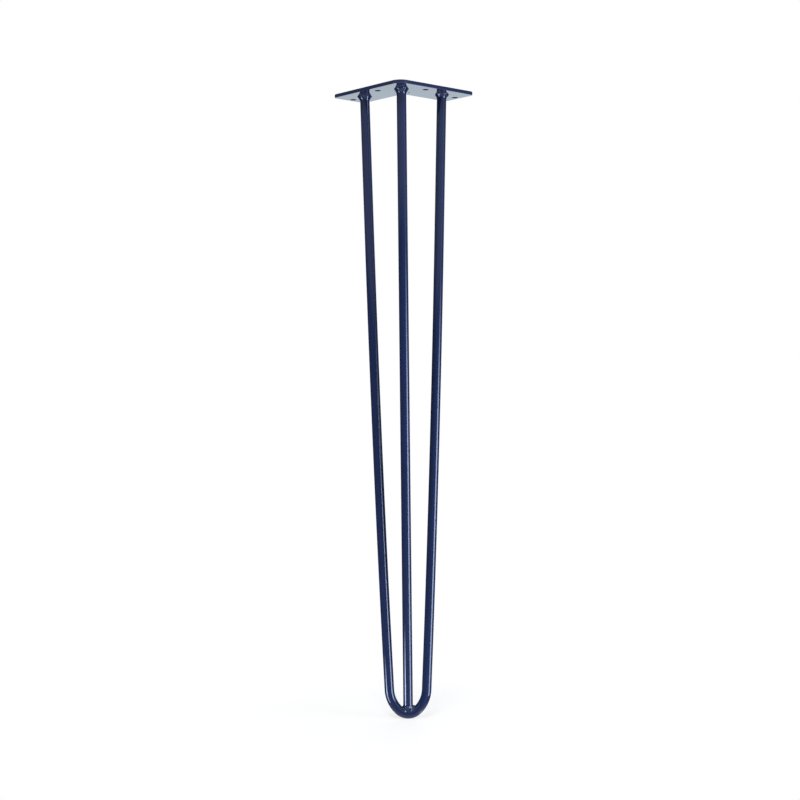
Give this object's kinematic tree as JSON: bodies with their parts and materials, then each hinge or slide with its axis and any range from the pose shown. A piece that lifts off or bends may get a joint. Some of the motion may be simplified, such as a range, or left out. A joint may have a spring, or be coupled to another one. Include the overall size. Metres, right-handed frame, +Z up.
{
  "type": "hairpin table leg",
  "caption": "Hairpin table leg: a round bar bent into a narrow U and a straight bar, welded under a chevron mounting plate with screw holes.",
  "frame": {"origin": "on the plate's upper face, where the middle lines of its two arms cross", "axes": "+Z up along the leg, from the foot to the face that meets the table; the plate's outer corner points to -Y and its arms run back to both sides at 45 degrees; X = 0 is the mirror plane"},
  "size_m": [0.1598, 0.1089, 0.72],
  "materials": {
    "navy_gloss_paint": "gloss powder coat"
  },
  "bodies": {
    "root": {"mounting_plate": "navy_gloss_paint", "hairpin_rod": "navy_gloss_paint", "corner_rod": "navy_gloss_paint", "weld_beads": "navy_gloss_paint"}
  },
  "joints": []
}
